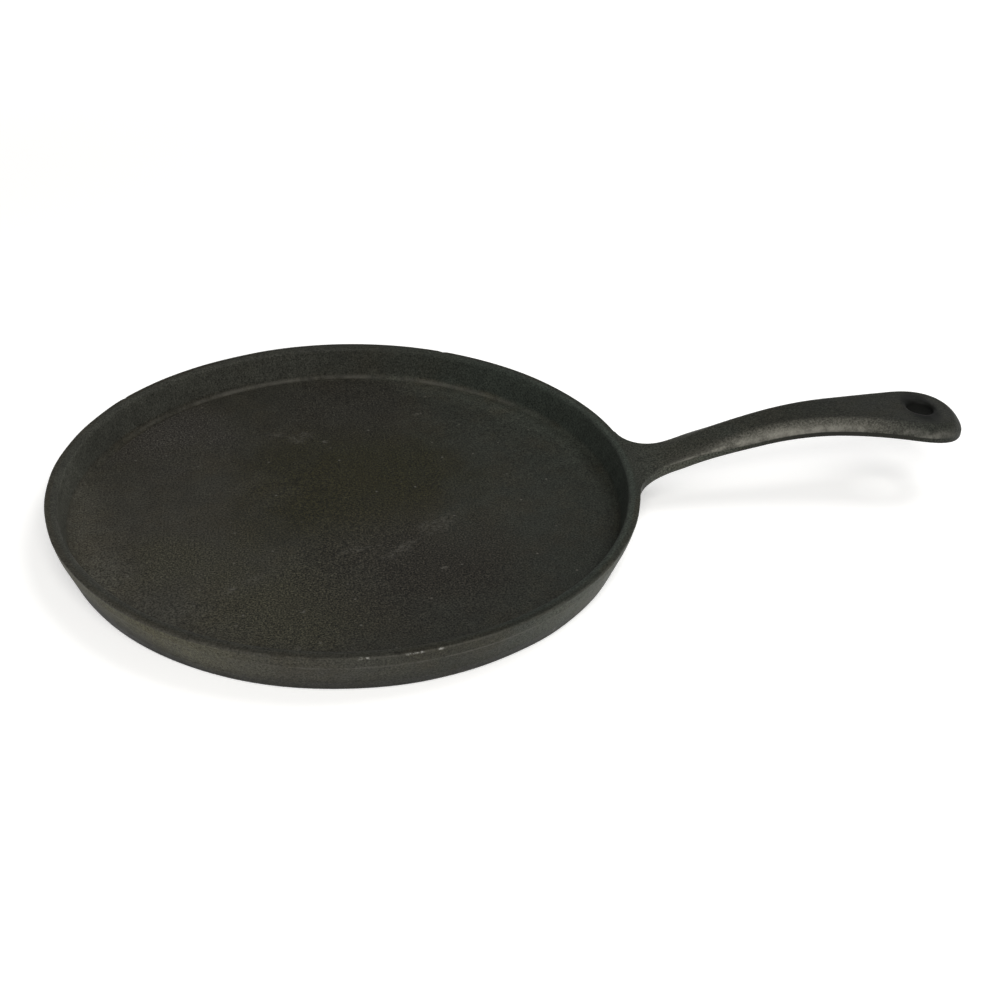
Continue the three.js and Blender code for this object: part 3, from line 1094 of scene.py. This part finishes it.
# A scuff: an ellipse in plan, turned about Z, with wandering edges and a speckled inside.
def scuffGroup():
    s = scuffing
    takes = [("Vector", "Vector", None), ("Centre", "Vector", None), ("Turn", "Float", 0.0)]
    takes += [("Length", "Float", 0.01), ("Width", "Float", 0.002), ("Speckle", "Float", 800.0)]
    tree, given, out = newGroup("scuff", takes, [("Mask", "Float")])
    place = given["Vector"]
    local = vectorMaths("SUBTRACT", place, given["Centre"])["Vector"]
    back = given["Turn"] * -1.0
    local = through("ShaderNodeVectorRotate", {"Vector": local, "Angle": back}, rotation_type="Z_AXIS")
    part = xyzOf(local[0])
    wobble = (noise(place, s["wobbleScale"]) - 0.5) * (given["Width"] * s["wobble"])
    u = part["X"] / given["Length"]
    v = (part["Y"] + wobble) / given["Width"]
    reach = u * u + v * v
    inside = eased(reach, 0.0, 1.0, 1.0, 0.0)
    speckle = eased(noise(place, given["Speckle"], roughness=0.6), *s["speckle"])
    linkSocket(out["Mask"], inside * speckle)
    return tree


def ringMask(groups, place, radius, level, reach):
    sockets = {"Vector": place, "Radius": radius, "Height": level, "Reach": reach}
    return useGroup(groups["ring"], sockets)["Mask"]


def rubbedMask(groups, place, where, amount):
    return useGroup(groups["rubbed"], {"Vector": place, "Where": where, "Amount": amount})["Mask"]


def scuffMask(groups, place, centre, turn, length, width):
    sockets = {"Vector": place, "Centre": centre, "Turn": turn, "Length": length, "Width": width}
    return useGroup(groups["scuff"], sockets)["Mask"]


def startMaterial(name, specular):
    material = bpy.data.materials.new(name)
    material.use_nodes = True
    tree = material.node_tree
    tree.nodes.clear()
    shader = addNode(tree, "ShaderNodeBsdfPrincipled", {"Specular IOR Level": specular})
    through("ShaderNodeOutputMaterial", {"Surface": Wires(shader)[0]})
    return material, shader, Wires(addNode(tree, "ShaderNodeTexCoord"))["Object"]


# Links what the three finishes end with. Bright is the mask of their bare iron.
def finishIron(shader, finish, colour, roughness, bright, height):
    linkSocket(shader.inputs["Base Color"], colour)
    linkSocket(shader.inputs["Roughness"], roughness)
    linkSocket(shader.inputs["Metallic"], bright * finish["metal"])
    bump = through("ShaderNodeBump", {"Height": height, "Distance": finish["grainDepth"]})
    linkSocket(shader.inputs["Normal"], bump[0])


# Floor, wall and lip share one tone, so that no seam shows where they meet.
panTone = {
    "Dark": seen(43, 42, 37),
    "Light": seen(50, 49, 43),
    "Brown": seen(50, 46, 36),
    "Cool": seen(43, 47, 42),
    # Deep and Clear are paler tones of painted light on the well's side
    "Deep": seen(51, 56, 51),
    # Pale is painted light and a painted warm reflection towards the left front
    "Pale": seen(59, 58, 52),
    "Clear": seen(57, 58, 53),
}

floorFinish = {
    "bare": seen(92, 90, 84),
    "wanderScale": 32.0,
    "wander": 60 * mm,  # how far the outlines of the wide patches stray
    "dimWay": (0.55, -0.83, 0.0),  # the floor grows darker this way from the middle
    "dim": (30 * mm, 105 * mm),
    "dimTo": 0.82,
    "edge": (98 * mm, 121 * mm),  # radii between which it is painted paler towards the back right, painted light lifting the wall's shade
    "edgeWay": (0.67, 0.74, 0.0),
    "edgeFrom": (95 * mm, 118 * mm),
    "edgeBy": 0.5,
    "specks": 62.0,  # small pale nicks, one at most in each cell of a pattern of this scale
    "speckReach": (0.015, 0.05),  # their size in cells
    "speckDraw": (0.45, 1.0),  # the cells whose draw is above the first value have one
    "patchGrain": 2.0,  # power of the crystals' grain on the wide patches
    "grainShare": 0.22,
    "pits": 0.5,
    "metal": 0.4,
    "roughness": (0.56, 0.63),
    "grainDepth": 0.10 * mm,
    "specular": 0.18,
}

# Wide patches on the floor: baked oil in the middle and at the front, darker places at the back and right of
# the front, and a paler place at the back left. Places and reaches are in millimetres
patches = [
    {"at": (6, 18), "reach": (22, 76), "colour": seen(31, 29, 6), "share": 0.6},
    {"at": (8, 100), "reach": (10, 60), "colour": seen(39, 37, 33), "share": 0.6},
    {"at": (-85, 74), "reach": (5, 48), "colour": seen(54, 52, 49), "share": 0.7},
    {"at": (-28, -80), "reach": (8, 56), "colour": seen(51, 50, 38), "share": 0.6},
    {"at": (-72, -34), "reach": (2, 36), "colour": seen(53, 52, 40), "share": 0.5},
    {"at": (28, -52), "reach": (12, 64), "colour": seen(38, 36, 31), "share": 0.9},
]

# Marks that pans and tools have left on the floor: centre, half length and half width in millimetres, turn in
# degrees
scuffs = [
    {"at": (-18.8, 64.6), "turn": 7, "length": 9, "width": 6.5, "strength": 0.45},
    {"at": (-31.4, 66.9), "turn": 0, "length": 6, "width": 4, "strength": 0.4},
    {"at": (0.0, -37.6), "turn": 18, "length": 10, "width": 2.4, "strength": 0.5},
    {"at": (20.5, -38.6), "turn": 38, "length": 17, "width": 2.6, "strength": 0.55},
    {"at": (19.5, -40.6), "turn": 38, "length": 10, "width": 5, "strength": 0.3},
    {"at": (38.7, -20.4), "turn": 45, "length": 14, "width": 7.5, "strength": 0.48},
    {"at": (-54.4, -61.6), "turn": 37, "length": 5, "width": 1.7, "strength": 0.8},
    {"at": (-44.3, -54.4), "turn": 37, "length": 8, "width": 2, "strength": 0.4},
    {"at": (-7.2, 58.2), "turn": 0, "length": 2.0, "width": 1.6, "strength": 1.0},
    {"at": (40.6, 81.6), "turn": 15, "length": 3.2, "width": 1.5, "strength": 1.0},
    {"at": (37.6, -54.9), "turn": 0, "length": 2.0, "width": 1.7, "strength": 1.0},
    {"at": (-24.3, -80.2), "turn": 20, "length": 1.6, "width": 1.4, "strength": 0.9},
    {"at": (-27.4, -104.7), "turn": 0, "length": 1.6, "width": 1.5, "strength": 0.9},
]


# A place on the floor from its millimetres in plan.
def onFloor(at):
    return (at[0] * mm, at[1] * mm, pan["floor"])


# Painted light on the floor's edge at the back right, lifting the wall's shade; it runs on over the foot of
# the wall.
def edgePaintedLight(place):
    forward = lengthAlong(place, floorFinish["edgeWay"])
    return eased(forward, *floorFinish["edgeFrom"], 0.0, floorFinish["edgeBy"])


# Lays the wide patches over a colour. Each fades between two distances from its middle, which stray.
def patched(place, fleck, colour):
    f = floorFinish
    wander = (noise(place, f["wanderScale"], detail=3.0, roughness=0.6) - 0.5) * f["wander"]
    for patch in patches:
        away = vectorMaths("DISTANCE", place, onFloor(patch["at"]))["Value"]
        near, far = (reach * mm for reach in patch["reach"])
        share = eased(away + wander, near, far, patch["share"], 0.0)
        colour = blended(share, colour, shaded(patch["colour"], fleck))
    return colour


# Bare iron on the floor: scattered specks, each in its cell, and the scuffs.
def floorMarks(groups, place):
    f = floorFinish
    sockets = {"Vector": place, "Scale": f["specks"]}
    cells = through("ShaderNodeTexVoronoi", sockets, voronoi_dimensions="2D")
    worn = eased(cells["Distance"], *f["speckReach"], 1.0, 0.0)
    drawn = through("ShaderNodeSeparateColor", {"Color": cells["Color"]})["Red"]
    worn = worn * eased(drawn, *f["speckDraw"])
    for mark in scuffs:
        turn, length, width = math.radians(mark["turn"]), mark["length"] * mm, mark["width"] * mm
        mask = scuffMask(groups, place, onFloor(mark["at"]), turn, length, width)
        worn = larger(worn, mask * mark["strength"])
    return worn


def floorMaterial(groups):
    f = floorFinish
    material, shader, place = startMaterial("floorIron", f["specular"])
    grain = useGroup(groups["grain"], {"Vector": place, "Pits": f["pits"]})
    tone = useGroup(groups["tone"], {"Vector": place, **panTone})
    fleck = tone["Fleck"] ** f["patchGrain"]
    colour = patched(place, fleck, tone["Colour"])
    forward = lengthAlong(place, f["dimWay"])
    colour = shaded(colour, eased(forward, *f["dim"], 1.0, f["dimTo"]))
    edge = eased(lengthOf(place), *f["edge"])
    # Painted light lifting the wall's shade on the floor's edge
    colour = lightened(colour, edge * edgePaintedLight(place))
    colour = blended(grain["Speck"] * f["grainShare"], colour, f["bare"])
    worn = floorMarks(groups, place)
    colour = blended(worn, colour, f["bare"])
    matt = eased(tone["Mottle"], 0.0, 1.0, *f["roughness"])
    finishIron(shader, f, colour, matt, worn, grain["Height"])
    return material


wallFinish = {
    "bare": seen(96, 94, 88),
    "chipped": seen(168, 167, 162),
    "chipWidth": 3 * mm,
    "rimInset": 0.2 * mm,  # the rim's worn edge lies this far inside the corner of rim and land
    "rimReach": 1.0 * mm,
    "rimWorn": 0.3,
    "creaseReach": 0.9 * mm,
    "creaseWorn": 0.4,
    "landReach": 1.5 * mm,
    "landWay": (-0.914, -0.407, 0.0),  # the land's inner edge is worn this way from the middle
    "landFrom": (123.5 * mm, 126.8 * mm),
    "landWorn": 0.6,
    "landDepth": 0.8 * mm,
    "landFront": (-40 * mm, -115 * mm),  # the land grows darker towards the front
    "landDim": 0.22,
    "landRight": (60 * mm, 125 * mm),  # and paler towards the handle
    "landPale": 0.14,
    "landEnd": (1.4 * mm, 0.6 * mm),  # distances inside the rim between which the land gives way to the lip
    "landGrime": 0.1,
    # grime along the floor's edge also carries painted shade that damps the fillet's highlight
    "grime": seen(20, 20, 17),
    "grimeScale": 90.0,
    "grimeEdge": (0.4, 0.62),
    "grimeShare": (0.0, 0.28),
    "footInset": 0.7 * mm,  # the floor's edge lies this far inside the corner of wall and floor
    "footLift": 0.6 * mm,  # and this far above it
    "footReach": 1.8 * mm,
    "footFront": (60 * mm, 105 * mm),  # the floor's edge is scraped pale from here to the back
    "footWorn": 0.5,
    "footBreakup": 140.0,
    "footEdge": (0.36, 0.64),
    "footUneven": (-0.35, 0.4),  # how far its tone strays there
    "footRight": (20 * mm, 100 * mm),  # the edge has less grime and painted shade towards the handle
    "footClean": 0.3,  # share of the grime and painted shade that is left there
    "footRise": (1.4 * mm, 3.4 * mm),  # heights above the floor over which its painted light ends
    "footEnd": (126.0 * mm, 126.6 * mm),  # radii inside the wall that part the well from the outside
    "footRoughness": 0.25,  # added along the floor's edge
    "roughness": (0.54, 0.62),
    "grain": 3.2,
    "grainShare": 0.2,
    "pits": 0.4,
    "metal": 0.5,
    "grainDepth": 0.09 * mm,
    "specular": 0.09,
}


# Masks round the pan: the rim's outer edge, the crease, the land's inner edge and the foot of the well.
def wallRings(groups, place):
    w = wallFinish
    rim, height, floor = pan["rimRadius"], pan["height"], pan["floor"]
    footRadius = float(wellRadius(floor)) - w["footInset"]
    rings = {
        "rim": (rim - w["rimInset"], height - w["rimInset"], w["rimReach"]),
        "crease": (rim - pan["lipLean"], pan["crease"], w["creaseReach"]),
        "land": (rim - pan["landWidth"], height, w["landReach"]),
        "foot": (footRadius, floor + w["footLift"], w["footReach"]),
    }
    return {key: ringMask(groups, place, *ring) for key, ring in rings.items()}


# Bare iron along the rim and crease, at the left of the land's inner edge and round the back of the floor's.
def wallMarks(groups, place, rings, scraped):
    w = wallFinish
    leftLand = eased(lengthAlong(place, w["landWay"]), *w["landFrom"])
    worn = rubbedMask(groups, place, rings["rim"], w["rimWorn"])
    worn = larger(worn, rubbedMask(groups, place, rings["crease"], w["creaseWorn"]))
    worn = larger(worn, rubbedMask(groups, place, rings["land"] * leftLand, w["landWorn"]))
    return larger(worn, rubbedMask(groups, place, scraped, w["footWorn"]))


# Bright iron in the dents of the rim.
def chipMarks(groups, place, nearRim):
    rim, chips = pan["rimRadius"], 0.0
    for nick in nicks:
        turn = math.radians(nick["at"])
        centre = (rim * math.cos(turn), rim * math.sin(turn), pan["height"])
        along = turn + math.pi / 2
        mask = scuffMask(groups, place, centre, along, nick["length"], wallFinish["chipWidth"])
        chips = larger(chips, mask)
    return chips * nearRim


# Grime and painted shade in patches along the floor's edge, and a little grime along the land's inner edge.
def grimeAndShadeMarks(place, part, rings):
    w = wallFinish
    patchy = noise(place, w["grimeScale"], detail=3.0, roughness=0.6)
    grime = rings["foot"] * eased(patchy, *w["grimeEdge"], *w["grimeShare"])
    grime = grime * eased(part["X"], *w["footRight"], 1.0, w["footClean"])
    return larger(grime, rings["land"] * w["landGrime"])


# What the land's tone gains towards the handle and loses towards the front.
def landGain(part, radius):
    w = wallFinish
    onLand = eased(part["Z"], pan["height"] - w["landDepth"], pan["height"])
    landEnds = [pan["rimRadius"] - inset for inset in w["landEnd"]]
    onLand = onLand * eased(radius, *landEnds, 1.0, 0.0)
    pale = eased(part["X"], *w["landRight"], 0.0, w["landPale"])
    dim = eased(part["Y"], *w["landFront"], 0.0, w["landDim"])
    return onLand * (pale - dim)


# Painted light at the foot of the well at the back right, as on the floor's edge.
def footPaintedLight(place, part, radius):
    w = wallFinish
    rises = [pan["floor"] + rise for rise in w["footRise"]]
    gain = edgePaintedLight(place) * eased(part["Z"], *rises, 1.0, 0.0)
    return gain * eased(radius, *w["footEnd"], 1.0, 0.0)


def wallMaterial(groups):
    w = wallFinish
    material, shader, place = startMaterial("wallIron", w["specular"])
    grain = useGroup(groups["grain"], {"Vector": place, "Pits": w["pits"]})
    tone = useGroup(groups["tone"], {"Vector": place, **panTone, "Grain": w["grain"]})
    part = xyzOf(place)
    radius = axisDistance(part)
    rings = wallRings(groups, place)
    scraped = rings["foot"] * eased(part["Y"], *w["footFront"])
    worn = wallMarks(groups, place, rings, scraped)
    chips = chipMarks(groups, place, rings["rim"])
    colour = blended(grain["Speck"] * w["grainShare"], tone["Colour"], w["bare"])
    # Grime, with painted shade along the floor's edge
    colour = blended(grimeAndShadeMarks(place, part, rings), colour, w["grime"])
    stray = noise(place, w["footBreakup"], detail=4.0, roughness=0.7)
    stray = eased(stray, *w["footEdge"], *w["footUneven"])
    colour = lightened(colour, scraped * stray)
    colour = lightened(colour, landGain(part, radius))
    colour = lightened(colour, footPaintedLight(place, part, radius))
    colour = blended(worn, colour, w["bare"])
    colour = blended(chips, colour, w["chipped"])
    matt = eased(tone["Mottle"], 0.0, 1.0, *w["roughness"])
    matt = matt + rings["foot"] * w["footRoughness"]
    finishIron(shader, w, colour, matt, larger(worn, chips), grain["Height"])
    return material


# The handle's blotches are smaller. It lies clear of the well and the left, so three tones aren't set here.
handleTone = {
    "Dark": seen(42, 43, 38),
    "Light": seen(50, 51, 46),
    "Brown": seen(47, 45, 37),
    "Cool": seen(44, 46, 41),
    "Blotch": 24.0,
}

handleFinish = {
    # polish on the flanks with a painted sheen
    "polished": seen(75, 74, 68),
    "polishedGrain": 0.65,  # share of the iron's grain that still shows there
    "bare": seen(140, 138, 130),
    # painted shade on the handle's side below the flank
    "shade": seen(33, 33, 29),
    # soot and painted shade round the hole and over its far side
    "soot": seen(13, 14, 12),
    "toneAlong": (1.3, 0.775),  # the neck is paler and the palm darker than the rest
    "neckAlong": (-3 * mm, 12 * mm),  # from the rim, the neck takes on its own tone between these
    "neckDim": 0.86,
    # strength of the painted light on the neck's side
    "neckSideBy": 0.6,
    "sootShare": 0.95,
    "sootReach": (1.0, 1.7),  # shares of the hole's radius between which its soot and painted shade fade
    "sootShape": (1.0, 0.6, 0.0),  # it reaches further across the handle than along it
    "roughness": (0.5, 0.62),
    "polishedRoughness": 0.47,
    "grainDepth": 0.08 * mm,
    "specular": 0.12,
    "streaks": (800.0, 260.0, 260.0),  # marks across the flank are short along the handle
    "streakEdge": (0.3, 0.7),
    "streakBy": (0.74, 1.04),
    "edgeWorn": 0.6,
    "grainShare": 0.2,
    "pits": 0.3,
    "metal": 0.4,
}


# A mark kept on the points of the mesh, for the tree that place belongs to.
def markOf(place, name):
    return Wires(addNode(place.socket.id_data, "ShaderNodeAttribute", attribute_name=name))["Fac"]


# Soot and painted shade round the hanging hole, worked out in plan.
def sootAndShadeMarks(place):
    f = handleFinish
    flat = vectorMaths("MULTIPLY", place, f["sootShape"])["Vector"]
    fromHole = vectorMaths("DISTANCE", flat, (handle["hole"], 0, 0))["Value"]
    near, far = (share * handle["holeRadius"] for share in f["sootReach"])
    return eased(fromHole, near, far, f["sootShare"], 0.0)


def handleMaterial(groups):
    f = handleFinish
    material, shader, place = startMaterial("handleIron", f["specular"])
    grain = useGroup(groups["grain"], {"Vector": place, "Pits": f["pits"]})
    tone = useGroup(groups["tone"], {"Vector": place, **handleTone})
    part = xyzOf(place)
    stretched = vectorMaths("MULTIPLY", place, f["streaks"])["Vector"]
    streak = noise(stretched, 1.0, detail=3.0, roughness=0.65)
    streak = eased(streak, *f["streakEdge"], *f["streakBy"])
    polishAndSheen = maths("MULTIPLY", markOf(place, "flank"), streak, clamp=True)
    along = eased(part["X"], pan["rimRadius"], handle["arch"], *f["toneAlong"])
    neckEnds = [pan["rimRadius"] + reach for reach in f["neckAlong"]]
    along = along * eased(part["X"], *neckEnds, f["neckDim"], 1.0)
    # Painted light on the neck's side
    litNeckSide = markOf(place, "neckSideLight") * f["neckSideBy"] + 1.0
    colour = shaded(tone["Colour"], along * litNeckSide)
    colour = blended(grain["Speck"] * f["grainShare"], colour, f["polished"])
    fleck = tone["Fleck"] * f["polishedGrain"] + (1 - f["polishedGrain"])
    # Polish with a painted sheen on the flanks
    colour = blended(polishAndSheen, colour, shaded(f["polished"], fleck))
    worn = rubbedMask(groups, place, markOf(place, "edge"), f["edgeWorn"])
    colour = blended(worn, colour, f["bare"])
    # Painted shade on the handle's side
    colour = blended(markOf(place, "side"), colour, f["shade"])
    # Soot and painted shade round the hole
    colour = blended(sootAndShadeMarks(place), colour, f["soot"])
    matt = eased(tone["Mottle"], 0.0, 1.0, *f["roughness"])
    matt = matt - polishAndSheen * (matt - f["polishedRoughness"])
    finishIron(shader, f, colour, matt, larger(worn, polishAndSheen), grain["Height"])
    return material


scene.view_settings.view_transform = "Standard"
makeCamera(pan["height"])
makeFloor()
makeSky()
makeLamps()
print("stage, lamps and camera set")

groups = {
    "grain": sandGrainGroup(),
    "tone": castToneAndLightGroup(),
    "ring": nearRingGroup(),
    "rubbed": rubbedGroup(),
    "scuff": scuffGroup(),
}
floorIron, wallIron, handleIron = floorMaterial(groups), wallMaterial(groups), handleMaterial(groups)
print("finishes made")

makePlate(floorIron)
makeWall(wallIron)
makeLip(wallIron)
makeNeck(handleIron)
makeGrip(handleIron)
makeEnd(handleIron)
